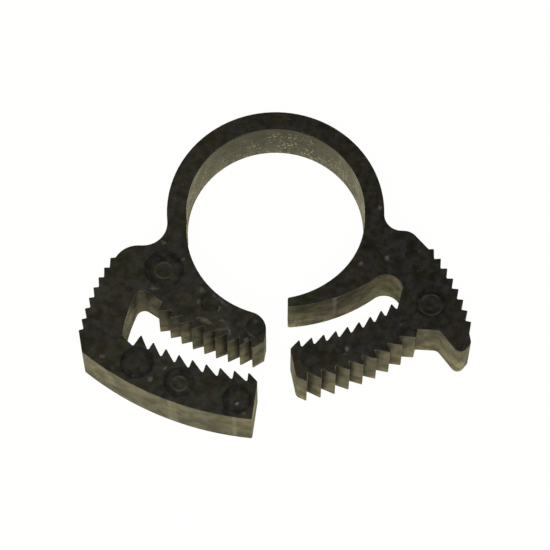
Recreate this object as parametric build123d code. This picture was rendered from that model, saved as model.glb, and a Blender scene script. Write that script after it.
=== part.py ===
from build123d import *
from dataclasses import dataclass
from math import cos, radians, sin
import os

# One-piece ratchet clamp for tubing, lying flat.
# The outline is drawn in XY, the clamp is moulded upwards along Z, and the bore axis is the origin.

# Moulding
THICKNESS = 6.0

# Ring that goes round the tube
BORE_RADIUS = 9.15
RING_WALL = 2.0
RING_RADIUS = BORE_RADIUS + RING_WALL
BORE_END_LEFT = 187.0
BORE_END_RIGHT = -3.0

# Shoulders where the ring joins the mouth block on the left and the tongue block on the right
LEFT_SHOULDER_HEIGHT = -3.8
LEFT_SHOULDER_CORNER = (-15.5, -3.76)
LEFT_NECK_ROUNDING = 2.45
LEFT_SHOULDER_ROUNDING = 2.6
RIGHT_SHOULDER_HEIGHT = -2.05
RIGHT_SHOULDER_CORNER = (13.85, -2.2)
RIGHT_NECK_ROUNDING = 1.75
RIGHT_SHOULDER_ROUNDING = 1.6


@dataclass
class ToothRow:
    """Teeth on an arc: each has a tip, and a root that lies past it by a share of the pitch."""

    centre: tuple
    tip_radius: float
    root_radius: float
    first_angle: float
    pitch_angle: float
    count: int
    root_share: float

    def at(self, radius, angle):
        x, y = self.centre
        return (x + radius * cos(radians(angle)), y + radius * sin(radians(angle)))

    def tip(self, index):
        return self.at(self.tip_radius, self.first_angle + index * self.pitch_angle)

    def root(self, index):
        angle = self.first_angle + (index + self.root_share) * self.pitch_angle
        return self.at(self.root_radius, angle)

    def points(self):
        row = [self.tip(0)]
        for index in range(1, self.count):
            row += [self.root(index - 1), self.tip(index)]
        return row


# Ratchet teeth: 9 in each row, with a steep flank along the arc's radius
TEETH = 9
LOWER_JAW_ROW = ToothRow((0.32, 7.43), 25.1, 26.19, -123.54, 3.319, TEETH, 1.0)
UPPER_JAW_ROW = ToothRow((2.2, 9.51), 24.91, 23.89, -124.58, 2.991, TEETH, 0.92)
TONGUE_UPPER_ROW = ToothRow((-1.89, 9.52), 23.91, 24.8, -55.29, -3.044, TEETH, 0.99)
TONGUE_LOWER_ROW = ToothRow((-1.97, 8.39), 27.4, 26.32, -54.05, -3.145, TEETH, 0.9)

# Grip serrations for pliers: 8 on each side
GRIPS = 8
LEFT_GRIP_ROW = ToothRow((2.56, -17.21), 22.83, 22.33, 148.13, 3.039, GRIPS, 0.78)
RIGHT_GRIP_ROW = ToothRow((-3.32, -17.83), 23.78, 23.16, 35.04, -3.022, GRIPS, 0.74)

# Mouth block: lower jaw, pocket behind the teeth, upper jaw and its seat for the ring tip
LEFT_GRIP_START = (-16.3, -5.1)
HEEL_CORNER = (-19.5, -15.35)
HEEL_ROUNDING = 0.45
JAW_BACK_MIDDLE = (-11.64, -20.15)
JAW_BACK_END = (-2.38, -22.53)
JAW_BACK_ROUNDING = 0.2
LOWER_JAW_NOSE = (-1.82, -18.5)
LOWER_JAW_NOSE_ROUNDING = 0.3
POCKET_FLOOR_RIGHT = (-14.36, -14.7)
POCKET_FLOOR_LEFT = (-15.5, -13.6)
POCKET_WALL_MIDDLE = (-15.12, -11.6)
POCKET_TOP = (-13.85, -8.3)
POCKET_TOP_ROUNDING = 0.85
POCKET_ROOF_END = (-11.42, -9.95)
UPPER_JAW_HEEL = (-1.17, -14.2)
UPPER_JAW_NOSE_BOTTOM = (-0.96, -13.0)
UPPER_JAW_NOSE_MIDDLE = (-1.35, -11.75)
SEAT_END = (-2.33, -11.07)
SEAT_MIDDLE = (-7.3, -7.55)

# Ring tip: the free end of the ring, which springs slightly open
TIP_INNER_BEND = (8.37, -4.2)
TIP_INNER_KNEE = (6.5, -6.82)
TIP_INNER_MIDDLE = (4.19, -8.49)
TIP_INNER_END = (1.22, -9.5)
TIP_OUTER_END = (1.25, -10.52)
TIP_OUTER_MIDDLE = (6.4, -9.4)
TIP_OUTER_START = (10.03, -7.46)
TIP_END_ROUNDING = 0.2

# Tongue block: slot above the tongue, tongue end and hook for the pliers
SLOT_END_MIDDLE = (11.45, -7.02)
SLOT_END_CORNER = (12.92, -8.35)
SLOT_END_ROUNDING = 0.25
SLOT_FLOOR = (12.28, -10.82)
TONGUE_NOSE_TOP = (1.48, -15.0)
TONGUE_NOSE_BOTTOM = (2.08, -18.0)
TONGUE_NOSE_ROUNDING = 0.3
TONGUE_HEEL_ROUNDING = 0.7
HOOK_FLAT_START = (14.32, -12.93)
HOOK_BEND = (16.56, -13.06)
HOOK_BEND_ROUNDING = 0.8
HOOK_POINT = (18.6, -15.76)
HOOK_POINT_ROUNDING = 0.7
HOOK_SIDE = (19.72, -14.4)
HOOK_SIDE_ROUNDING = 0.5
HOOK_WAIST = (19.55, -13.35)
RIGHT_GRIP_START = (15.62, -4.2)

# Shallow round marks that the ejector pins leave in the top face: centre and radius
PIN_MARK_DEPTH = 0.2
PIN_MARKS = [
    ((-11.35, -6.35), 1.95),
    ((-6.6, -10.0), 1.0),
    ((-2.0, -12.6), 0.95),
    ((-13.95, -16.5), 1.65),
    ((-9.65, -18.55), 1.5),
    ((-3.85, -20.35), 1.45),
    ((3.55, -15.9), 1.05),
    ((15.75, -10.1), 1.55),
]


def on_ring(height, side):
    """Point on the outside of the ring at this height, on the left (-1) or the right (1)."""
    return (side * (RING_RADIUS**2 - height**2) ** 0.5, height)


def on_bore(angle):
    return (BORE_RADIUS * cos(radians(angle)), BORE_RADIUS * sin(radians(angle)))


def outline():
    """The clamp's closed outline, drawn anticlockwise from the left shoulder."""
    neck_left = on_ring(LEFT_SHOULDER_HEIGHT, -1)
    neck_right = on_ring(RIGHT_SHOULDER_HEIGHT, 1)
    with BuildLine() as line:
        # Left grip, heel and back of the lower jaw
        Polyline(neck_left, LEFT_SHOULDER_CORNER, LEFT_GRIP_START, *LEFT_GRIP_ROW.points(), HEEL_CORNER)
        ThreePointArc(HEEL_CORNER, JAW_BACK_MIDDLE, JAW_BACK_END)
        # Lower jaw, from its nose back into the pocket
        lower_teeth = list(reversed(LOWER_JAW_ROW.points()))
        Polyline(JAW_BACK_END, LOWER_JAW_NOSE, *lower_teeth, POCKET_FLOOR_RIGHT, POCKET_FLOOR_LEFT)
        # Pocket and upper jaw
        pocket_wall = ThreePointArc(POCKET_FLOOR_LEFT, POCKET_WALL_MIDDLE, POCKET_TOP)
        Polyline(pocket_wall @ 1, POCKET_ROOF_END, *UPPER_JAW_ROW.points(), UPPER_JAW_HEEL, UPPER_JAW_NOSE_BOTTOM)
        ThreePointArc(UPPER_JAW_NOSE_BOTTOM, UPPER_JAW_NOSE_MIDDLE, SEAT_END)
        ThreePointArc(SEAT_END, SEAT_MIDDLE, on_bore(BORE_END_LEFT))
        # Bore and the inside of the ring tip
        ThreePointArc(on_bore(BORE_END_LEFT), on_bore(90), on_bore(BORE_END_RIGHT))
        ThreePointArc(on_bore(BORE_END_RIGHT), TIP_INNER_BEND, TIP_INNER_KNEE)
        ThreePointArc(TIP_INNER_KNEE, TIP_INNER_MIDDLE, TIP_INNER_END)
        Line(TIP_INNER_END, TIP_OUTER_END)
        # Slot between the ring tip and the tongue
        ThreePointArc(TIP_OUTER_END, TIP_OUTER_MIDDLE, TIP_OUTER_START)
        ThreePointArc(TIP_OUTER_START, SLOT_END_MIDDLE, SLOT_END_CORNER)
        # Tongue
        Polyline(SLOT_END_CORNER, SLOT_FLOOR, *TONGUE_UPPER_ROW.points(), TONGUE_NOSE_TOP, TONGUE_NOSE_BOTTOM)
        tongue_teeth = list(reversed(TONGUE_LOWER_ROW.points()))
        Polyline(TONGUE_NOSE_BOTTOM, *tongue_teeth, HOOK_FLAT_START)
        # Hook, right grip and right shoulder
        right_teeth = list(reversed(RIGHT_GRIP_ROW.points()))
        Polyline(HOOK_FLAT_START, HOOK_BEND, HOOK_POINT, HOOK_SIDE, HOOK_WAIST, *right_teeth, RIGHT_GRIP_START)
        Polyline(RIGHT_GRIP_START, RIGHT_SHOULDER_CORNER, neck_right)
        # Outside of the ring
        ThreePointArc(neck_right, (0, RING_RADIUS), neck_left)
    return line.wire()


ROUNDED_CORNERS = [
    (on_ring(LEFT_SHOULDER_HEIGHT, -1), LEFT_NECK_ROUNDING),
    (LEFT_SHOULDER_CORNER, LEFT_SHOULDER_ROUNDING),
    (HEEL_CORNER, HEEL_ROUNDING),
    (JAW_BACK_END, JAW_BACK_ROUNDING),
    (LOWER_JAW_NOSE, LOWER_JAW_NOSE_ROUNDING),
    (POCKET_TOP, POCKET_TOP_ROUNDING),
    (TIP_INNER_END, TIP_END_ROUNDING),
    (TIP_OUTER_END, TIP_END_ROUNDING),
    (SLOT_END_CORNER, SLOT_END_ROUNDING),
    (TONGUE_NOSE_TOP, TONGUE_NOSE_ROUNDING),
    (TONGUE_NOSE_BOTTOM, TONGUE_HEEL_ROUNDING),
    (HOOK_BEND, HOOK_BEND_ROUNDING),
    (HOOK_POINT, HOOK_POINT_ROUNDING),
    (HOOK_SIDE, HOOK_SIDE_ROUNDING),
    (RIGHT_SHOULDER_CORNER, RIGHT_SHOULDER_ROUNDING),
    (on_ring(RIGHT_SHOULDER_HEIGHT, 1), RIGHT_NECK_ROUNDING),
]


def profile():
    """The outline as a face, with its rounded corners."""
    with BuildSketch() as sketch:
        add(outline())
        make_face()
        for corner, radius in ROUNDED_CORNERS:
            vertex = sketch.vertices().sort_by_distance(corner)[0]
            fillet(vertex, radius)
    return sketch.sketch


def clamp_body():
    """The whole clamp: one moulding of constant thickness, with pin marks in its top face."""
    with BuildPart() as body:
        add(extrude(profile(), amount=THICKNESS))
        for centre, radius in PIN_MARKS:
            with BuildSketch(Plane.XY.offset(THICKNESS)):
                with Locations(centre):
                    Circle(radius)
            extrude(amount=-PIN_MARK_DEPTH, mode=Mode.SUBTRACT)
    return body.part


os.makedirs("parts", exist_ok=True)
export_step(clamp_body(), "parts/clamp_body.step")
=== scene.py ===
import math
from dataclasses import dataclass

import bmesh
import bpy
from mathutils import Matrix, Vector


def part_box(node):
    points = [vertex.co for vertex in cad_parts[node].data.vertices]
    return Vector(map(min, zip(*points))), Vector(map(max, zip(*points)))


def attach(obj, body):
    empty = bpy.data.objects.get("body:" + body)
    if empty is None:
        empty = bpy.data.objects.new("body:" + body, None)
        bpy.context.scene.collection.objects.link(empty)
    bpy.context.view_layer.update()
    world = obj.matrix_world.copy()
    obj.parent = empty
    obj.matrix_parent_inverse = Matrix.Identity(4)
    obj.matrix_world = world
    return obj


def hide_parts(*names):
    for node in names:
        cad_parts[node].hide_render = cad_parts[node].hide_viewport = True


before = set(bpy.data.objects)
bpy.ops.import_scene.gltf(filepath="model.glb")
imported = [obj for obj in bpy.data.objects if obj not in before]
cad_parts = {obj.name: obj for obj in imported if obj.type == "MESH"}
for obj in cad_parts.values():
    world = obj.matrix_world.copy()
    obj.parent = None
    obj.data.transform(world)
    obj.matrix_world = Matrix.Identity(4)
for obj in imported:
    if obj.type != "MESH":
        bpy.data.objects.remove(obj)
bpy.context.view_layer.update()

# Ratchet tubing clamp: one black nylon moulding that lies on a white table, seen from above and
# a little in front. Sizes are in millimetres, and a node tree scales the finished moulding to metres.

METRES = 0.001
MILLIMETRES = 1000.0

# The moulding's edges
RIM_ROUNDING = 0.035
RIM_STEPS = 3
TIP_ROUNDING = 0.09
ROOT_ROUNDING = 0.12
CORNER_STEPS = 5
SHARP_CORNER = math.radians(30)
CRISP_EDGE = math.radians(40)
FLAT_FACE = 0.99
SAME_POINT = 0.002


@dataclass
class ToothRow:
    """Teeth on an arc, on the left (-1) or the right (1), all of them further out than a limit."""
    x: float
    y: float
    root_radius: float
    tip_radius: float
    side: int
    limit: float


# The rows of ratchet teeth, and then the grips
TOOTH_ROWS = [
    ToothRow(0.32, 7.43, 26.19, 25.10, -1, 1.0),
    ToothRow(2.20, 9.51, 23.89, 24.91, -1, 1.0),
    ToothRow(-1.89, 9.52, 24.80, 23.91, 1, 1.0),
    ToothRow(-1.97, 8.39, 26.32, 27.40, 1, 1.0),
    ToothRow(2.56, -17.21, 22.33, 22.83, -1, 14.0),
    ToothRow(-3.32, -17.83, 23.16, 23.78, 1, 14.0),
]

# The dents of the ejector pins on the upper face
MARK_DEPTH = 0.2
MARK_SLOPE = 0.05
MARK_SIDES = 64
RING_WIDTH = 0.24
RING_HEIGHT = 0.02
DENT_REACH = 0.02

# The painted shade in a pin mark's corner, a crescent of painted shadow, in distances from the edge of
# the mark
SHADE_SPILL = 0.28
SHADE_RIM = 0.06
SHADE_FULL = 0.1
SHADE_END = 0.9


@dataclass
class PinMark:
    """The round dent that an ejector pin leaves.

    It has a centre and a radius, the way and distance that its crescent of painted shade lies off
    centre, the radius of the turned ring inside it, where there is one, and how dark its painted shade
    is.
    """
    x: float
    y: float
    radius: float
    painted_crescent_shade: tuple
    ring: float = 0.0
    shade_strength: float = 1.0


PIN_MARKS = [
    PinMark(-11.35, -6.35, 1.95, (-0.25, 0.30), 0.85),
    PinMark(-6.6, -10.0, 1.0, (-0.05, -0.05), shade_strength=0.5),
    PinMark(-2.0, -12.6, 0.95, (0.05, 0.15), shade_strength=0.6),
    PinMark(-13.95, -16.5, 1.65, (0.12, 0.04)),
    PinMark(-9.65, -18.55, 1.5, (-0.10, 0.18), 0.75),
    PinMark(-3.85, -20.35, 1.45, (-0.08, 0.05)),
    PinMark(3.55, -15.9, 1.05, (0.0, 0.10), shade_strength=0.6),
    PinMark(15.75, -10.1, 1.55, (0.0, 0.05), 1.1),
]


@dataclass
class Scuff:
    """A pale oval streak: its place, half its length and width, its turn in degrees and its strength."""
    x: float
    y: float
    length: float
    width: float
    turn: float
    strength: float


# The scuffs on the upper face
SCUFFS = [
    Scuff(-7.10, -12.02, 1.05, 0.34, -24, 0.9),
    Scuff(-7.89, -11.71, 0.28, 0.24, 0, 1.0),
    Scuff(-5.50, -11.98, 0.55, 0.17, 0, 0.6),
    Scuff(-5.73, -10.57, 0.70, 0.17, 90, 0.9),
    Scuff(-6.24, -9.22, 0.40, 0.24, -40, 1.0),
    Scuff(-5.55, -9.85, 1.15, 0.22, -43, 0.7),
    Scuff(-5.31, -12.95, 0.95, 0.24, 4, 0.7),
    Scuff(-4.70, -13.05, 0.75, 0.20, -68, 0.9),
    Scuff(-2.50, -13.40, 0.85, 0.24, -52, 0.8),
    Scuff(-1.98, -11.95, 0.40, 0.30, -10, 0.9),
    Scuff(-2.98, -14.10, 0.36, 0.26, 0, 1.2),
    Scuff(-7.45, -8.64, 0.50, 0.42, 80, 0.7),
    Scuff(-7.75, -9.94, 0.48, 0.36, 60, 0.7),
    Scuff(-3.84, -20.80, 0.32, 0.24, 40, 1.8),
    Scuff(-9.43, -5.31, 0.38, 0.26, 10, 0.9),
    Scuff(-12.35, -8.55, 0.75, 0.18, -3, 0.8),
    Scuff(7.20, -15.04, 0.40, 0.30, 70, 1.2),
    Scuff(7.00, -15.55, 0.30, 0.22, 0, 1.0),
    Scuff(10.70, 0.36, 0.40, 0.28, 80, 0.9),
    Scuff(8.70, -5.83, 0.40, 0.28, 20, 0.9),
    Scuff(11.35, -5.16, 0.46, 0.28, 80, 0.9),
    Scuff(-12.58, -18.27, 0.44, 0.34, 50, 1.0),
    Scuff(-14.39, -17.95, 0.38, 0.26, 0, 0.9),
    Scuff(-11.09, -17.09, 0.40, 0.26, 60, 1.0),
    Scuff(-17.45, -15.82, 0.44, 0.32, 10, 1.0),
    Scuff(-11.39, -3.55, 0.38, 0.26, 0, 0.9),
    Scuff(-3.23, -21.85, 0.34, 0.22, 0, 0.9),
    Scuff(-14.60, -12.60, 0.48, 0.18, -40, 0.8),
]
SCUFF_CORE = 0.2


@dataclass
class Spot:
    """An upright line through the clamp, how far its effect reaches and how strong that is."""
    x: float
    y: float
    reach: float
    strength: float = 1.0


# Haze on the upper face
HAZE = [
    Spot(-19.6, -9.5, 3.6),
    Spot(-6.3, -12.4, 2.8),
    Spot(-6.4, -6.3, 2.2),
    Spot(-1.6, -14.6, 2.0),
    Spot(0.9, -9.9, 1.8),
]

# Places where the walls are painted paler, as painted light: pocket, slot end, jaw's nose, tongue's
# nose, bore ends, hook
PAINTED_LIGHT_PLACES = [
    Spot(-15.2, -12.3, 3.0, 0.060),
    Spot(12.3, -8.0, 3.0, 0.045),
    Spot(-1.9, -20.5, 2.6, 0.050),
    Spot(1.6, -17.2, 2.2, 0.030),
    Spot(-9.1, -0.5, 3.8, 0.070),
    Spot(9.1, 0.8, 3.2, 0.060),
    Spot(18.2, -15.8, 1.6, 0.020),
]

# The upright lines where the mould's parts met, on the lower jaw's back and the ring tip, painted pale
# as a highlight on their ridges
WITNESS_LINES = [
    Spot(-10.62, -20.62, 0.36, 0.50),
    Spot(-10.15, -20.78, 0.32, 0.30),
    Spot(-4.15, -22.35, 0.32, 0.48),
    Spot(6.0, -9.54, 0.30, 0.60),
    Spot(6.7, -9.42, 0.16, 0.45),
]

# A dark spot at the foot of the tongue's heel
DARK_SPOT = (2.30, -18.00, 0.10)
DARK_SPOT_REACH = 0.55
DARK_SPOT_CORE = 0.30

# Ragged edges: their features to the millimetre, and how far they reach
SCUFF_FRAY = (2.2, 0.5)
PIT_FRAY = (1.8, 0.7)


@dataclass
class Clouds:
    """Soft uneven patches.

    They have a number of features to the millimetre, the noise values between which they rise from
    a low value to a high one, how fine they go, and how each axis is stretched or turned over.
    """
    scale: float
    start: float
    end: float
    low: float = 0.0
    high: float = 1.0
    detail: float = 2.0
    roughness: float = 0.5
    axes: tuple = (1.0, 1.0, 1.0)


# The flat faces: near black, clouded and smudged, hazy in patches, with painted light towards the left,
# painted shade towards the right and painted highlights on the rings
FACE_CLOUDS = Clouds(0.42, 0.40, 0.60)
FACE_COLD = Clouds(0.35, 0.44, 0.62, 0.0, 0.85, axes=(-1.0, 1.0, 1.0))
FACE_DARK = Clouds(0.6, 0.46, 0.66, 0.0, 0.72, axes=(1.0, -1.0, 1.0))
FACE_SMUDGES = Clouds(1.1, 0.52, 0.72, 0.0, 0.34)
FACE_SPECKS = Clouds(1.9, 0.66, 0.76, 0.0, 0.5, roughness=0.6)
SCUFF_BREAKS = Clouds(3.0, 0.30, 0.60, 0.25, 0.60)
SHADE_BREAKS = Clouds(1.3, 0.30, 0.60, 0.45, 1.0)
FACE_ROUGHNESS = Clouds(1.4, 0.3, 0.7, 0.30, 0.42, detail=3.0)
GREEN_BLACK = (0.0050, 0.0060, 0.0000)
BROWN_BLACK = (0.0100, 0.0066, 0.0018)
COLD_BLACK = (0.0082, 0.0070, 0.0058)
DEEP_BLACK = (0.0016, 0.0013, 0.0003)
SMUDGE_COLOUR = (0.0150, 0.0138, 0.0058)
HAZE_AND_LIGHT_COLOUR = (0.0150, 0.0140, 0.0072)
SPECK_COLOUR = (0.0330, 0.0310, 0.0220)
SCUFF_COLOUR = (0.080, 0.076, 0.062)
RING_HIGHLIGHT_COLOUR = (0.020, 0.019, 0.011)
PAINTED_SHADE_COLOUR = (0.0018, 0.0013, 0.0003)
# Painted shade towards the right and painted light towards the left, each between two values of x
SHADE_RIGHT = (5.0, 12.5, 0.0, 0.48)
LIGHT_LEFT = (13.0, -17.0, 0.0, 0.30)
HAZE_SHARE = 0.85
RING_HIGHLIGHT_SHARE = 0.4

# The side walls: a tone of painted light from the white table, which is highest at the foot, times a
# tint near 1
THICKNESS = 6.0
WALL_STEEPNESS = (0.80, 0.35)
BORE_EDGE = 9.4
WALL_TONE = 0.025
BORE_TONE = 0.010
WALL_FOOT = 0.105
BORE_FOOT = 0.064
FOOT_FALL = 2.5
UNDER_TONGUE_FOOT = 0.45
BROW = (0.60, 0.35, 0.0, 0.024)
TIP_HIGHLIGHT = 0.35
ROOT_SHADE = 0.48
TOOTH_EDGE = 0.6
FOOT_LEVEL = Clouds(0.6, 0.3, 0.7, -0.9, 0.9)
WALL_BLOTCHES = Clouds(0.7, 0.34, 0.66, 0.60, 1.40, detail=3.0)
WALL_LINES = Clouds(1.8, 0.35, 0.65, 0.86, 1.14, detail=3.0, axes=(1.0, 1.0, 0.12))
WALL_GRAIN = Clouds(2.4, 0.35, 0.65, 0.85, 1.18)
WALL_WARM = Clouds(0.55, 0.36, 0.64, axes=(-1.0, 1.0, 1.0))
WALL_COLD = Clouds(0.5, 0.46, 0.66, 0.0, 0.7, axes=(1.0, -1.0, 1.0))
WALL_ROUGHNESS = Clouds(0.7, 0.34, 0.66, 0.46, 0.28, detail=3.0)
BORE_POLISH = 0.13
JAW_BACK_EVENNESS = 0.45
PLAIN_BLOTCH = 0.70
PLAIN_TINT_SHARE = 0.85
BORE_BLOTCH_POWER = 1.5
OLIVE_TINT = (1.02, 1.02, 0.38)
BUFF_TINT = (1.34, 0.96, 0.56)
GREY_TINT = (1.14, 1.0, 0.78)
PLAIN_TINT = (1.08, 1.0, 0.80)
WITNESS_HIGHLIGHT_COLOUR = (0.15, 0.135, 0.10)
DARK_SPOT_COLOUR = (0.004, 0.004, 0.003)

# Where parts of the walls begin or end, each between two values of x, y, slope or distance
JAW_BACK_RIGHT = (0.5, -0.5)
JAW_BACK_TOP = (-14.9, -15.3)
UNDER_TONGUE_TOP = (-12.0, -13.0)
UNDER_TONGUE_LEFT = (2.4, 3.0)
UNDER_TONGUE_RIGHT = (17.2, 16.2)
LEFT_GRIP_EDGE = (21.4, 22.0)
RIGHT_GRIP_EDGE = (22.3, 22.9)
BACKWARD_SLOPE = (0.0, 0.4)
RING_OUTSIDE = (10.2, 10.8)
RING_LOWER_END = (-6.8, -5.6)

# The bright pits: where they crowd in the bore, each place with its x and its width
PIT_CROWDS = [(1.2, 5.0), (7.4, 3.0), (-8.0, 1.8)]
PIT_CLOUDS = Clouds(0.42, 0.42, 0.58, 0.0, 0.8, detail=1.0)
PIT_CEILING = Clouds(0.5, 0.35, 0.65, 3.6, 5.8, detail=1.0)
PIT_CEILING_FADE = 0.7
TIP_PITS = Spot(3.4, -10.2, 2.6)
TIP_PIT_CORE = 0.7
TIP_PIT_HEIGHTS = (3.2, 1.8)
PITS_PER_MM = 2.8
PIT_EDGE = (0.52, 0.22)
PIT_CHANCE = (0.15, 0.65)
PIT_COLOUR = (0.260, 0.236, 0.168)

# Relief, with its features to the millimetre and its height, and the nylon's shine
FINE_RELIEF = (9.0, 0.005)
BROAD_RELIEF = (0.8, 0.03)
PIT_RELIEF = 0.03
NYLON_IOR = 1.5

# The camera
CAMERA_TILT = math.radians(21.46)
CAMERA_REACH = 311.3
CAMERA_TARGET = (-0.06, -4.68, 0.0)
CAMERA_LENS = 196.36
SENSOR_WIDTH = 36.0
NEAREST_SEEN = 0.01
FURTHEST_SEEN = 100.0

# The table, in metres, with its paint, and its glow as the camera and the nylon see it
TABLE_SIDE = 6.0
TABLE_PAINT = (0.92, 0.865, 0.56, 1.0)
SEEN_COLOUR = (1.0, 1.0, 1.0)
SEEN_GLOW = 0.98
MIRRORED_COLOUR = (0.09, 0.086, 0.06)
MIRRORED_GLOW = 0.5
ROOM_COLOUR = (0.012, 0.011, 0.009, 1.0)


@dataclass
class Softbox:
    """A square softbox: its way round from the front and up in degrees, its reach and side in metres."""
    name: str
    azimuth: float
    elevation: float
    reach: float
    side: float
    power: float


SOFTBOXES = [
    Softbox("softbox in front", 0, 60, 1.0, 0.9, 14.2),
    Softbox("softbox left", -90, 32, 0.9, 0.8, 4.3),
    Softbox("softbox right", 80, 30, 1.0, 0.8, 2.8),
    Softbox("softbox behind", 180, 14, 1.0, 0.4, 1.0),
]


# Node trees

def add(tree, kind, inputs=None, **settings):
    """Adds a node, sets its options, and gives each named input a value or a link."""
    made = tree.nodes.new(kind)
    for option, value in settings.items():
        setattr(made, option, value)
    for key, value in (inputs or {}).items():
        if isinstance(value, bpy.types.NodeSocket):
            tree.links.new(value, made.inputs[key])
        else:
            made.inputs[key].default_value = value
    return made


def compute(tree, operation, *values):
    """One arithmetic step."""
    made = add(tree, "ShaderNodeMath", dict(enumerate(values)), operation=operation)
    return made.outputs[0]


def new_geometry_tree(name, inputs):
    """An empty tree with a geometry input and output, and the named inputs after them."""
    tree = bpy.data.node_groups.new(name, "GeometryNodeTree")
    sockets = tree.interface
    sockets.new_socket("Geometry", in_out="INPUT", socket_type="NodeSocketGeometry")
    sockets.new_socket("Geometry", in_out="OUTPUT", socket_type="NodeSocketGeometry")
    for label, kind in inputs:
        sockets.new_socket(label, in_out="INPUT", socket_type=kind)
    given = tree.nodes.new("NodeGroupInput").outputs
    result = tree.nodes.new("NodeGroupOutput").inputs["Geometry"]
    return tree, given, result


def section_point(tree, inward, height):
    """A point of a section: its X runs out of the material and its Y down when it is swept."""
    outward = compute(tree, "MULTIPLY", inward, -1.0)
    downward = compute(tree, "MULTIPLY", height, -1.0)
    return add(tree, "ShaderNodeCombineXYZ", {"X": outward, "Y": downward}).outputs[0]


def wall_section(tree, width, rounding, steps):
    """The wall's section from the upper face down to the under face, round at both rims.

    It has four corners: the first two are at the upper face and the last two at the under face, and
    the first and the last lie in on the flat by the rounding.
    """
    place = tree.nodes.new("GeometryNodeInputIndex").outputs[0]
    first = compute(tree, "LESS_THAN", place, 0.5)
    last = compute(tree, "GREATER_THAN", place, 2.5)
    inward = compute(tree, "MULTIPLY", compute(tree, "ADD", first, last), rounding)
    height = compute(tree, "MULTIPLY", compute(tree, "LESS_THAN", place, 1.5), width)
    corner = section_point(tree, inward, height)
    line = add(tree, "GeometryNodeMeshLine", {"Count": 4}).outputs[0]
    shaped = add(tree, "GeometryNodeSetPosition", {"Geometry": line, "Position": corner}).outputs[0]
    section = add(tree, "GeometryNodeMeshToCurve", {"Mesh": shaped}).outputs[0]
    return add(tree, "GeometryNodeFilletCurve", {
        "Curve": section, "Radius": rounding, "Count": steps, "Limit Radius": True,
    }, mode="POLY").outputs[0]


def inset(tree, curve, amount):
    """The curve moved in by one distance."""
    normal = tree.nodes.new("GeometryNodeInputNormal").outputs[0]
    back = compute(tree, "MULTIPLY", amount, -1.0)
    offset = add(tree, "ShaderNodeVectorMath", {"Vector": normal, "Scale": back}, operation="SCALE")
    return add(tree, "GeometryNodeSetPosition", {
        "Geometry": curve, "Offset": offset.outputs[0],
    }).outputs[0]


def raised(tree, geometry, height):
    """The geometry moved up."""
    return add(tree, "GeometryNodeSetPosition", {
        "Geometry": geometry,
        "Offset": add(tree, "ShaderNodeCombineXYZ", {"Z": height}).outputs[0],
    }).outputs[0]


def filled(tree, height, *curves):
    """A flat face inside the curves, at one height."""
    joined = tree.nodes.new("GeometryNodeJoinGeometry")
    for curve in curves:
        tree.links.new(curve, joined.inputs[0])
    face = add(tree, "GeometryNodeFillCurve", {"Curve": joined.outputs[0]}, mode="TRIANGLES")
    return raised(tree, face.outputs[0], height)


def upright(tree, curve):
    """The curve with its normals level, so that a section swept along it stands straight."""
    return add(tree, "GeometryNodeSetCurveNormal", {"Curve": curve}, mode="Z_UP").outputs[0]


def swept(tree, curve, section):
    """The section swept along the curve."""
    made = add(tree, "GeometryNodeCurveToMesh", {"Curve": curve, "Profile Curve": section})
    return made.outputs[0]


def stored(tree, name):
    """A number that each point of the chain carries."""
    made = add(tree, "GeometryNodeInputNamedAttribute", {"Name": name}, data_type="FLOAT")
    return made.outputs["Attribute"]


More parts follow.
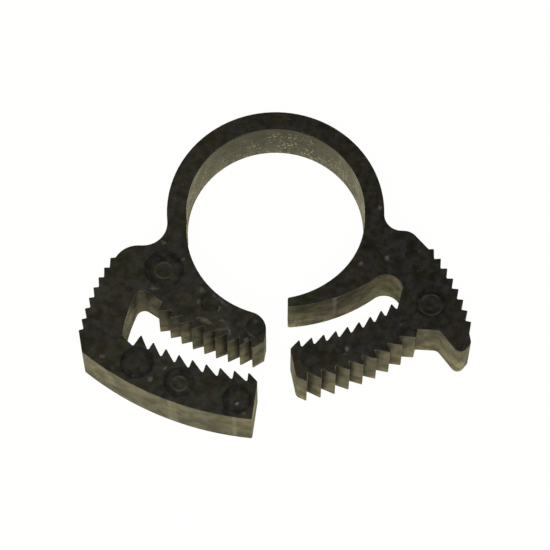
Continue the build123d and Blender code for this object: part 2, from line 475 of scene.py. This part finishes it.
def moulding_tree():
    """Turns the outline's chain of points, and the pin marks' loose points, into the moulding."""
    tree, given, result = new_geometry_tree("clamp moulding", [
        ("Width", "NodeSocketFloat"),
        ("Rim rounding", "NodeSocketFloat"),
        ("Rim steps", "NodeSocketInt"),
        ("Corner steps", "NodeSocketInt"),
        ("Mark depth", "NodeSocketFloat"),
        ("Mark slope", "NodeSocketFloat"),
        ("Mark sides", "NodeSocketInt"),
        ("Finish", "NodeSocketMaterial"),
    ])
    width = given["Width"]
    rounding = given["Rim rounding"]

    mark_radius = stored(tree, "mark_radius")
    parts = add(tree, "GeometryNodeSeparateGeometry", {
        "Geometry": given["Geometry"],
        "Selection": compute(tree, "GREATER_THAN", mark_radius, 0.0),
    }, domain="POINT")
    marks, outline = parts.outputs["Selection"], parts.outputs["Inverted"]

    chain = add(tree, "GeometryNodeMeshToCurve", {"Mesh": outline}).outputs[0]
    edge = upright(tree, add(tree, "GeometryNodeFilletCurve", {
        "Curve": chain, "Radius": stored(tree, "corner_rounding"),
        "Count": given["Corner steps"], "Limit Radius": True,
    }, mode="POLY").outputs[0])
    wall = swept(tree, edge, wall_section(tree, width, rounding, given["Rim steps"]))
    flat_edge = inset(tree, edge, rounding)
    under = filled(tree, 0.0, flat_edge)
    under = add(tree, "GeometryNodeFlipFaces", {"Mesh": under}).outputs[0]

    circle = add(tree, "GeometryNodeCurvePrimitiveCircle", {
        "Resolution": given["Mark sides"], "Radius": 1.0,
    }).outputs[0]
    circles = add(tree, "GeometryNodeInstanceOnPoints", {
        "Points": marks, "Instance": circle, "Scale": mark_radius,
    }).outputs[0]
    circles = add(tree, "GeometryNodeRealizeInstances", {"Geometry": circles}).outputs[0]
    circles = upright(tree, circles)
    depth = compute(tree, "MULTIPLY", given["Mark depth"], -1.0)
    slope = given["Mark slope"]
    dent = add(tree, "GeometryNodeCurvePrimitiveLine", {
        "Start": section_point(tree, slope, depth),
        "End": (0.0, 0.0, 0.0),
    }).outputs[0]
    dents = raised(tree, swept(tree, circles, dent), width)
    floors = filled(tree, compute(tree, "ADD", width, depth), inset(tree, circles, slope))
    upper = filled(tree, width, flat_edge, circles)

    whole = tree.nodes.new("GeometryNodeJoinGeometry")
    for piece in (wall, under, upper, dents, floors):
        tree.links.new(piece, whole.inputs[0])
    closed = add(tree, "GeometryNodeMergeByDistance", {
        "Geometry": whole.outputs[0], "Distance": SAME_POINT,
    }).outputs[0]
    scaled = add(tree, "GeometryNodeTransform", {
        "Geometry": closed, "Scale": (METRES, METRES, METRES),
    }).outputs[0]
    real = add(tree, "GeometryNodeRealizeInstances", {"Geometry": scaled}).outputs[0]
    coated = add(tree, "GeometryNodeSetMaterial", {
        "Geometry": real, "Material": given["Finish"],
    }).outputs[0]
    tree.links.new(coated, result)
    return tree


# The moulding

def under_face_outline(node):
    """The corners of the CAD node's under face, anticlockwise from above, in millimetres."""
    mesh = bmesh.new()
    mesh.from_mesh(node.data)
    bmesh.ops.remove_doubles(mesh, verts=mesh.verts, dist=SAME_POINT * METRES)
    under = {face for face in mesh.faces if face.normal.z < -FLAT_FACE}
    following = {}
    for face in mesh.faces:
        if face not in under:
            continue
        for loop in face.loops:
            if not any(other in under for other in loop.edge.link_faces if other is not face):
                following[loop.link_loop_next.vert] = loop.vert
    start = next(iter(following))
    corners = [start]
    while following[corners[-1]] is not start:
        corners.append(following[corners[-1]])
    places = [corner.co * MILLIMETRES for corner in corners]
    mesh.free()
    return places


def rounding_at(before, here, after):
    """A sharp corner's rounding: one radius on a tip, another in a root, and none where it is smooth."""
    arriving = (here - before).normalized()
    leaving = (after - here).normalized()
    turn = math.atan2(arriving.cross(leaving).z, arriving.dot(leaving))
    if abs(turn) < SHARP_CORNER:
        return 0.0
    return TIP_ROUNDING if turn > 0 else ROOT_ROUNDING


def outline_chain(outline, marks, finish):
    """A mesh with the outline as a closed chain of edges, and one loose point for each pin mark."""
    count = len(outline)
    points = outline + [Vector((mark.x, mark.y, 0.0)) for mark in marks]
    chain = bpy.data.meshes.new("outline")
    chain.from_pydata(points, [(i, (i + 1) % count) for i in range(count)], [])
    chain.materials.append(finish)
    corners = [
        rounding_at(outline[i - 1], outline[i], outline[(i + 1) % count]) for i in range(count)
    ]
    radii = [mark.radius for mark in marks]
    rounding = chain.attributes.new("corner_rounding", "FLOAT", "POINT")
    rounding.data.foreach_set("value", corners + [0.0] * len(radii))
    radius = chain.attributes.new("mark_radius", "FLOAT", "POINT")
    radius.data.foreach_set("value", [0.0] * count + radii)
    return chain


def run_tree(obj, tree, values):
    """Runs the tree on the object with these inputs and keeps the result as its plain mesh."""
    modifier = obj.modifiers.new(tree.name, "NODES")
    modifier.node_group = tree
    for socket in tree.interface.items_tree:
        if socket.in_out == "INPUT" and socket.name in values:
            modifier[socket.identifier] = values[socket.name]
    evaluated = obj.evaluated_get(bpy.context.evaluated_depsgraph_get())
    result = bpy.data.meshes.new_from_object(evaluated)
    obj.modifiers.remove(modifier)
    obj.data = result
    if result.materials[0] is None:
        result.materials.pop(index=0)


def shade_roundings(mesh):
    """Shades the roundings smooth, keeps flat faces flat up to their edges, and leaves dents crisp."""
    mesh.shade_smooth()
    shape = bmesh.new()
    shape.from_mesh(mesh)
    corner_normals = []
    for face in shape.faces:
        for loop in face.loops:
            around = [
                other for other in loop.vert.link_faces
                if other.normal.angle(face.normal) < CRISP_EDGE
            ]
            flat = [other for other in around if abs(other.normal.z) > FLAT_FACE]
            total = Vector()
            for other in flat or around:
                total += other.normal * other.calc_area()
            corner_normals.append(total.normalized())
    shape.free()
    mesh.normals_split_custom_set(corner_normals)


def make_moulding(finish):
    """The whole clamp, in place of its CAD node."""
    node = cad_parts["clamp_body"]
    lowest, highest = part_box("clamp_body")
    chain = outline_chain(under_face_outline(node), PIN_MARKS, finish)
    moulding = bpy.data.objects.new("clamp_moulding", chain)
    bpy.context.scene.collection.objects.link(moulding)
    run_tree(moulding, moulding_tree(), {
        "Width": (highest.z - lowest.z) * MILLIMETRES,
        "Rim rounding": RIM_ROUNDING,
        "Rim steps": RIM_STEPS,
        "Corner steps": CORNER_STEPS,
        "Mark depth": MARK_DEPTH,
        "Mark slope": MARK_SLOPE,
        "Mark sides": MARK_SIDES,
        "Finish": finish,
    })
    shade_roundings(moulding.data)
    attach(moulding, "root")
    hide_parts("clamp_body")


# Patterns

def spread(tree, value, start, end, low=0.0, high=1.0):
    """The value's soft step from low to high, between start and end."""
    return add(tree, "ShaderNodeMapRange", {
        "Value": value, "From Min": start, "From Max": end, "To Min": low, "To Max": high,
    }, interpolation_type="SMOOTHSTEP").outputs[0]


def spread_evenly(tree, value, start, end):
    """The value's straight step from 0 to 1, between start and end."""
    made = add(tree, "ShaderNodeMapRange", {"Value": value, "From Min": start, "From Max": end})
    return made.outputs[0]


def times(tree, *amounts):
    """The product of several amounts."""
    result = amounts[0]
    for amount in amounts[1:]:
        result = compute(tree, "MULTIPLY", result, amount)
    return result


def strongest(tree, amounts):
    """The largest of several amounts."""
    result = amounts[0]
    for amount in amounts[1:]:
        result = compute(tree, "MAXIMUM", result, amount)
    return result


def blended(tree, amount, first, second):
    """One number turned into another by an amount."""
    return add(tree, "ShaderNodeMix", {0: amount, 2: first, 3: second}).outputs[0]


def mixed(tree, amount, first, second):
    """One colour turned into another by an amount."""
    made = add(tree, "ShaderNodeMix", {"Factor": amount}, data_type="RGBA")
    for socket, colour in ((made.inputs[6], first), (made.inputs[7], second)):
        if isinstance(colour, bpy.types.NodeSocket):
            tree.links.new(colour, socket)
        else:
            socket.default_value = (*colour, 1.0)
    return made.outputs[2]


def parts_of(tree, vector):
    """The X, Y and Z of a vector."""
    return add(tree, "ShaderNodeSeparateXYZ", {0: vector}).outputs


def stretched(tree, point, scale):
    """The point with each axis scaled."""
    return add(tree, "ShaderNodeMapping", {"Vector": point, "Scale": scale}).outputs[0]


def distance(tree, point, place):
    """How far the point is from a place."""
    made = add(tree, "ShaderNodeVectorMath", {0: point, 1: place}, operation="DISTANCE")
    return made.outputs["Value"]


def noise(tree, point, scale, detail=2.0, roughness=0.5):
    """Cloudy noise between 0 and 1, with its scale in features to the millimetre."""
    return add(tree, "ShaderNodeTexNoise", {
        "Vector": point, "Scale": scale, "Detail": detail, "Roughness": roughness,
    }).outputs["Fac"]


def clouded(tree, point, clouds):
    """The value of some clouds at the point."""
    moved = stretched(tree, point, clouds.axes)
    value = noise(tree, moved, clouds.scale, clouds.detail, clouds.roughness)
    return spread(tree, value, clouds.start, clouds.end, clouds.low, clouds.high)


def frayed(tree, point, scale, reach):
    """The point moved a short way that changes from place to place."""
    clouds = add(tree, "ShaderNodeTexNoise", {"Vector": point, "Scale": scale}).outputs["Color"]
    way = add(tree, "ShaderNodeVectorMath", {0: clouds, 1: (-0.5, -0.5, -0.5)}, operation="ADD")
    way = add(tree, "ShaderNodeVectorMath", {
        0: way.outputs[0], 1: (reach, reach, 0.0),
    }, operation="MULTIPLY")
    return add(tree, "ShaderNodeVectorMath", {
        0: point, 1: way.outputs[0],
    }, operation="ADD").outputs[0]


def nearness(tree, level, spot, core=0.35):
    """1 on the spot's upright line, and 0 beyond its reach."""
    away = distance(tree, level, (spot.x, spot.y, 0.0))
    return spread(tree, away, spot.reach, core * spot.reach)


def streak(tree, point, scuff):
    """The scuff's strength in its middle, and 0 at its edge."""
    inside = add(tree, "ShaderNodeMapping", {
        "Vector": point,
        "Location": (scuff.x, scuff.y, 0.0),
        "Rotation": (0.0, 0.0, math.radians(scuff.turn)),
        "Scale": (scuff.length, scuff.width, 1.0),
    }, vector_type="TEXTURE").outputs[0]
    away = distance(tree, inside, (0.0, 0.0, 0.0))
    return spread(tree, away, 1.0, SCUFF_CORE, 0.0, scuff.strength)


def band(tree, value, middle, width):
    """1 where the value is at the middle, and 0 a width away on either side."""
    away = compute(tree, "ABSOLUTE", compute(tree, "SUBTRACT", value, middle))
    return spread(tree, away, width, 0.0)


# The nylon

@dataclass
class Surface:
    """What the finish knows of each point of the clamp.

    It knows the point's place in millimetres, with and without its height, which way the surface faces
    there, how far away the bore's axis is, and whether the point is on the bore or on the upper half.
    """
    point: bpy.types.NodeSocket
    level: bpy.types.NodeSocket
    x: bpy.types.NodeSocket
    y: bpy.types.NodeSocket
    height: bpy.types.NodeSocket
    facing_back: bpy.types.NodeSocket
    facing_up: bpy.types.NodeSocket
    from_axis: bpy.types.NodeSocket
    on_bore: bpy.types.NodeSocket
    on_top: bpy.types.NodeSocket


def read_surface(tree):
    """The surface that the tree colours."""
    coordinates = tree.nodes.new("ShaderNodeTexCoord").outputs
    point = stretched(tree, coordinates["Object"], (MILLIMETRES,) * 3)
    level = stretched(tree, point, (1.0, 1.0, 0.0))
    place = parts_of(tree, point)
    direction = parts_of(tree, coordinates["Normal"])
    from_axis = distance(tree, level, (0.0, 0.0, 0.0))
    return Surface(
        point, level, place["X"], place["Y"], place["Z"], direction["Y"], direction["Z"], from_axis,
        compute(tree, "LESS_THAN", from_axis, BORE_EDGE),
        compute(tree, "GREATER_THAN", place["Z"], THICKNESS / 2),
    )


def pin_mark_patterns(tree, surface):
    """The place of the pin marks, the painted shade in the corner round each, and the turned rings."""
    dents, painted_crescent_shade, rings = [], [], []
    for mark in PIN_MARKS:
        across, along = mark.painted_crescent_shade
        from_middle = distance(tree, surface.level, (mark.x, mark.y, 0.0))
        from_shade_centre = distance(tree, surface.level, (mark.x - across, mark.y - along, 0.0))
        # A crescent of painted shade in each dent's corner, off centre by the mark's offset
        inside = spread(tree, from_middle, mark.radius + SHADE_SPILL, mark.radius - SHADE_RIM)
        painted_shade = spread(tree, from_shade_centre, mark.radius - SHADE_END, mark.radius - SHADE_FULL)
        painted_crescent_shade.append(times(tree, inside, painted_shade, mark.shade_strength))
        dents.append(compute(tree, "LESS_THAN", from_middle, mark.radius + DENT_REACH))
        if mark.ring > 0.0:
            rings.append(band(tree, from_middle, mark.ring, RING_WIDTH))
    return (
        strongest(tree, dents),
        times(tree, strongest(tree, painted_crescent_shade), surface.on_top),
        times(tree, strongest(tree, rings), surface.on_top),
    )


def face_colour(tree, surface, painted_crescent_shade, rings):
    """Near black, with faint brown, green and blue clouds, paler in hazy patches and scuffs, with
    painted light towards the left, painted shade towards the right, painted highlights on the turned
    rings and painted shade in the pin marks' corners.
    """
    point, level = surface.point, surface.level
    colour = mixed(tree, clouded(tree, point, FACE_CLOUDS), GREEN_BLACK, BROWN_BLACK)
    colour = mixed(tree, clouded(tree, point, FACE_COLD), colour, COLD_BLACK)
    # Painted shade: darker towards the right
    painted_shade_right = spread(tree, surface.x, *SHADE_RIGHT)
    clouds_and_painted_shade = strongest(tree, [clouded(tree, point, FACE_DARK), painted_shade_right])
    colour = mixed(tree, clouds_and_painted_shade, colour, DEEP_BLACK)
    colour = mixed(tree, clouded(tree, point, FACE_SMUDGES), colour, SMUDGE_COLOUR)
    hazy = strongest(tree, [nearness(tree, level, patch, 0.0) for patch in HAZE])
    # Painted light: paler towards the left, joined with the haze
    painted_light_left = spread(tree, surface.x, *LIGHT_LEFT)
    haze_and_painted_light = strongest(tree, [painted_light_left, times(tree, hazy, HAZE_SHARE)])
    colour = mixed(tree, haze_and_painted_light, colour, HAZE_AND_LIGHT_COLOUR)
    colour = mixed(tree, clouded(tree, point, FACE_SPECKS), colour, SPECK_COLOUR)
    ragged = frayed(tree, level, *SCUFF_FRAY)
    wear_and_tip_highlight = strongest(tree, [streak(tree, ragged, scuff) for scuff in SCUFFS])
    wear_and_tip_highlight = times(tree, wear_and_tip_highlight, surface.on_top, clouded(tree, point, SCUFF_BREAKS))
    colour = mixed(tree, wear_and_tip_highlight, colour, SCUFF_COLOUR)
    # Painted highlight on the turned rings
    colour = mixed(tree, times(tree, rings, RING_HIGHLIGHT_SHARE), colour, RING_HIGHLIGHT_COLOUR)
    # Painted shade in the pin marks' corners
    mark_shade = times(tree, painted_crescent_shade, clouded(tree, point, SHADE_BREAKS))
    return mixed(tree, mark_shade, colour, PAINTED_SHADE_COLOUR)


def tooth_tone(tree, surface):
    """1 on a plain wall, less in the teeth's roots, where shade is painted, and more on their tips,
    where a highlight is painted.
    """
    tone = 1.0
    for row in TOOTH_ROWS:
        radius = distance(tree, surface.level, (row.x, row.y, 0.0))
        from_root = compute(tree, "SUBTRACT", radius, row.root_radius)
        share = compute(tree, "DIVIDE", from_root, row.tip_radius - row.root_radius)
        # Painted highlight on the tips and painted shade in the roots
        wear_and_tip_highlight = times(tree, band(tree, share, 1.0, TOOTH_EDGE), TIP_HIGHLIGHT)
        painted_shade = times(tree, band(tree, share, 0.0, TOOTH_EDGE), ROOT_SHADE)
        change = compute(tree, "SUBTRACT", wear_and_tip_highlight, painted_shade)
        here = compute(tree, "GREATER_THAN", times(tree, surface.x, row.side), row.limit)
        tone = compute(tree, "ADD", tone, times(tree, change, here))
    return tone


def plain_walls(tree, surface):
    """1 on the clean walls, which are the grips, the ring's outside and the walls that face back."""
    left_grip, right_grip = TOOTH_ROWS[4], TOOTH_ROWS[5]
    from_left = distance(tree, surface.level, (left_grip.x, left_grip.y, 0.0))
    from_right = distance(tree, surface.level, (right_grip.x, right_grip.y, 0.0))
    ring = times(
        tree,
        spread(tree, surface.from_axis, *RING_OUTSIDE),
        spread(tree, surface.y, *RING_LOWER_END),
    )
    return strongest(tree, [
        spread(tree, from_left, *LEFT_GRIP_EDGE),
        spread(tree, from_right, *RIGHT_GRIP_EDGE),
        spread(tree, surface.facing_back, *BACKWARD_SLOPE),
        ring,
    ])


def jaw_back(tree, surface):
    """1 on the back of the lower jaw."""
    left = spread(tree, surface.x, *JAW_BACK_RIGHT)
    low = spread(tree, surface.y, *JAW_BACK_TOP)
    return times(tree, left, low)


def under_tongue(tree, surface):
    """1 on the tongue's lower teeth and the notch."""
    return times(
        tree,
        spread(tree, surface.y, *UNDER_TONGUE_TOP),
        spread(tree, surface.x, *UNDER_TONGUE_LEFT),
        spread(tree, surface.x, *UNDER_TONGUE_RIGHT),
    )


def wall_tone(tree, surface, on_jaw_back):
    """How pale the walls are painted, as painted light: palest at the foot and less so under the tongue,
    where shade is painted, but the jaw's back is a little paler at its top.
    """
    height = compute(tree, "ADD", surface.height, clouded(tree, surface.level, FOOT_LEVEL))
    # The foot is painted paler as painted light from the table, and less so under the tongue as painted
    # shade
    share = spread_evenly(tree, height, THICKNESS, 0.0)
    foot = times(
        tree,
        compute(tree, "POWER", share, FOOT_FALL),
        spread(tree, surface.on_bore, 0.0, 1.0, WALL_FOOT, BORE_FOOT),
        spread(tree, under_tongue(tree, surface), 0.0, 1.0, 1.0, UNDER_TONGUE_FOOT),
    )
    # On the jaw's back the painted light is at the top, and its foot stays dark as painted shade
    brow = spread(tree, share, *BROW)
    tone = blended(tree, on_jaw_back, foot, brow)
    plain = spread(tree, surface.on_bore, 0.0, 1.0, WALL_TONE, BORE_TONE)
    tone = compute(tree, "ADD", tone, plain)
    # Painted light in the pocket, the slot end, the noses, the bore ends and the hook
    for spot in PAINTED_LIGHT_PLACES:
        paler = times(tree, nearness(tree, surface.level, spot), spot.strength)
        tone = compute(tree, "ADD", tone, paler)
    return tone


def wall_blotches(tree, surface, on_jaw_back, plain):
    """The walls' blotches: weaker on the jaw's back, strong in the bore, and none on plain walls."""
    blotches = clouded(tree, surface.point, WALL_BLOTCHES)
    evenness = times(tree, on_jaw_back, JAW_BACK_EVENNESS)
    blotches = blended(tree, evenness, blotches, 1.0)
    blotches = blended(tree, plain, blotches, PLAIN_BLOTCH)
    power = spread(tree, surface.on_bore, 0.0, 1.0, 1.0, BORE_BLOTCH_POWER)
    return compute(tree, "POWER", blotches, power)


def wall_colour(tree, surface):
    """The drawn side walls are painted paler than the faces, as painted light from the white table: an
    uneven olive that pales towards the foot, with painted highlights on the witness lines and a dark
    spot.
    """
    point = surface.point
    on_jaw_back = jaw_back(tree, surface)
    plain = plain_walls(tree, surface)
    tone = times(
        tree,
        wall_tone(tree, surface, on_jaw_back),
        wall_blotches(tree, surface, on_jaw_back, plain),
        clouded(tree, point, WALL_LINES),
        clouded(tree, point, WALL_GRAIN),
        tooth_tone(tree, surface),
    )
    tint = mixed(tree, clouded(tree, point, WALL_WARM), OLIVE_TINT, BUFF_TINT)
    tint = mixed(tree, clouded(tree, point, WALL_COLD), tint, GREY_TINT)
    tint = mixed(tree, times(tree, plain, PLAIN_TINT_SHARE), tint, PLAIN_TINT)
    colour = add(tree, "ShaderNodeVectorMath", {0: tint, "Scale": tone}, operation="SCALE").outputs[0]
    # Painted highlights along the witness lines
    for line in WITNESS_LINES:
        mark = times(tree, nearness(tree, surface.level, line), line.strength)
        colour = mixed(tree, mark, colour, WITNESS_HIGHLIGHT_COLOUR)
    # A dark spot at the foot of the tongue's heel
    dark_spot = spread(tree, distance(tree, point, DARK_SPOT), DARK_SPOT_REACH, DARK_SPOT_CORE)
    return mixed(tree, dark_spot, colour, DARK_SPOT_COLOUR)


def pits(tree, surface):
    """The bright pits in the lower part of the bore's wall and of the ring tip's outer wall."""
    crowded = strongest(tree, [clouded(tree, surface.point, PIT_CLOUDS)] + [
        band(tree, surface.x, middle, width) for middle, width in PIT_CROWDS
    ])
    ceiling = clouded(tree, surface.level, PIT_CEILING)
    above = compute(tree, "SUBTRACT", surface.height, ceiling)
    low = spread(tree, above, PIT_CEILING_FADE, -PIT_CEILING_FADE)
    bore = times(tree, surface.on_bore, low, crowded)
    tip = times(
        tree,
        nearness(tree, surface.level, TIP_PITS, TIP_PIT_CORE),
        spread(tree, surface.height, *TIP_PIT_HEIGHTS),
    )
    cells = add(tree, "ShaderNodeTexVoronoi", {
        "Vector": frayed(tree, surface.point, *PIT_FRAY), "Scale": PITS_PER_MM,
    }).outputs
    lot = parts_of(tree, cells["Color"])["X"]
    return times(
        tree,
        strongest(tree, [bore, tip]),
        spread(tree, cells["Distance"], *PIT_EDGE),
        spread(tree, lot, *PIT_CHANCE),
    )


def nylon_roughness(tree, surface, wall):
    """Satin faces, and walls that are duller in patches and smoother in the bore."""
    face = clouded(tree, surface.point, FACE_ROUGHNESS)
    side = clouded(tree, surface.point, WALL_ROUGHNESS)
    side = compute(tree, "SUBTRACT", side, times(tree, surface.on_bore, BORE_POLISH))
    return blended(tree, wall, face, side)


def nylon_relief(tree, surface, rings, bright):
    """The faint unevenness of the surface, the turned rings and the pits."""
    relief = times(tree, rings, RING_HEIGHT)
    for scale, height in (FINE_RELIEF, BROAD_RELIEF):
        relief = compute(tree, "ADD", relief, times(tree, noise(tree, surface.point, scale), height))
    relief = compute(tree, "ADD", relief, times(tree, bright, PIT_RELIEF))
    bump = add(tree, "ShaderNodeBump", {"Height": relief, "Strength": 1.0, "Distance": METRES})
    return bump.outputs[0]


def nylon():
    """Black moulded nylon, with painted light, shade and highlights in its colour."""
    material = bpy.data.materials.new("black nylon")
    material.use_nodes = True
    tree = material.node_tree
    shader = tree.nodes["Principled BSDF"].inputs
    surface = read_surface(tree)
    dents, painted_crescent_shade, rings = pin_mark_patterns(tree, surface)
    steep = spread(tree, compute(tree, "ABSOLUTE", surface.facing_up), *WALL_STEEPNESS)
    wall = times(tree, steep, compute(tree, "SUBTRACT", 1.0, dents))
    bright = pits(tree, surface)
    sides = mixed(tree, bright, wall_colour(tree, surface), PIT_COLOUR)
    colour = mixed(tree, wall, face_colour(tree, surface, painted_crescent_shade, rings), sides)
    tree.links.new(colour, shader["Base Color"])
    tree.links.new(nylon_roughness(tree, surface, wall), shader["Roughness"])
    tree.links.new(nylon_relief(tree, surface, rings, bright), shader["Normal"])
    shader["IOR"].default_value = NYLON_IOR
    return material


# The table, the light and the camera

def table_finish():
    """White paint that the camera sees near white with a faint shadow, and the nylon a little warm."""
    material = bpy.data.materials.new("white table")
    material.use_nodes = True
    tree = material.node_tree
    tree.nodes.clear()
    ray = tree.nodes.new("ShaderNodeLightPath").outputs
    seen = strongest(tree, [ray["Is Camera Ray"], ray["Is Glossy Ray"], ray["Is Transmission Ray"]])
    glow_colour = mixed(tree, ray["Is Camera Ray"], MIRRORED_COLOUR, SEEN_COLOUR)
    paint = add(tree, "ShaderNodeBsdfDiffuse", {"Color": TABLE_PAINT}).outputs[0]
    glow = add(tree, "ShaderNodeEmission", {"Color": glow_colour, "Strength": 1.0}).outputs[0]
    share = times(tree, seen, spread(tree, ray["Is Camera Ray"], 0.0, 1.0, MIRRORED_GLOW, SEEN_GLOW))
    both = add(tree, "ShaderNodeMixShader", {0: share, 1: paint, 2: glow}).outputs[0]
    add(tree, "ShaderNodeOutputMaterial", {"Surface": both})
    return material


def make_table():
    """The white table under the clamp."""
    half = TABLE_SIDE / 2
    corners = [(-half, -half, 0), (half, -half, 0), (half, half, 0), (-half, half, 0)]
    mesh = bpy.data.meshes.new("table")
    mesh.from_pydata(corners, [], [(0, 1, 2, 3)])
    mesh.materials.append(table_finish())
    table = bpy.data.objects.new("table", mesh)
    bpy.context.scene.collection.objects.link(table)


def make_softbox(box):
    """A softbox that faces the clamp; azimuth 0 is in front, and 90 is on the right."""
    around, up = math.radians(box.azimuth), math.radians(box.elevation)
    level = math.cos(up)
    away = Vector((math.sin(around) * level, -math.cos(around) * level, math.sin(up)))
    lamp = bpy.data.lights.new(box.name, "AREA")
    lamp.shape = "SQUARE"
    lamp.size = box.side
    lamp.energy = box.power
    softbox = bpy.data.objects.new(box.name, lamp)
    softbox.location = away * box.reach
    softbox.rotation_euler = away.to_track_quat("Z", "Y").to_euler()
    bpy.context.scene.collection.objects.link(softbox)


def make_light():
    """A large soft light above in front, weaker ones on both sides and behind, and a dim room."""
    for box in SOFTBOXES:
        make_softbox(box)
    world = bpy.data.worlds.new("dim room")
    bpy.context.scene.world = world
    world.use_nodes = True
    world.node_tree.nodes["Background"].inputs["Color"].default_value = ROOM_COLOUR


def make_camera():
    """The photograph's view."""
    data = bpy.data.cameras.new("camera")
    data.sensor_width = SENSOR_WIDTH
    data.lens = CAMERA_LENS
    data.clip_start = NEAREST_SEEN
    data.clip_end = FURTHEST_SEEN
    camera = bpy.data.objects.new("camera", data)
    reach = CAMERA_REACH * METRES
    away = Vector((0.0, -math.sin(CAMERA_TILT), math.cos(CAMERA_TILT)))
    camera.location = Vector(CAMERA_TARGET) * METRES + away * reach
    camera.rotation_euler = (CAMERA_TILT, 0.0, 0.0)
    bpy.context.scene.collection.objects.link(camera)
    bpy.context.scene.camera = camera


make_moulding(nylon())
make_table()
make_light()
make_camera()
bpy.context.scene.view_settings.view_transform = "Standard"
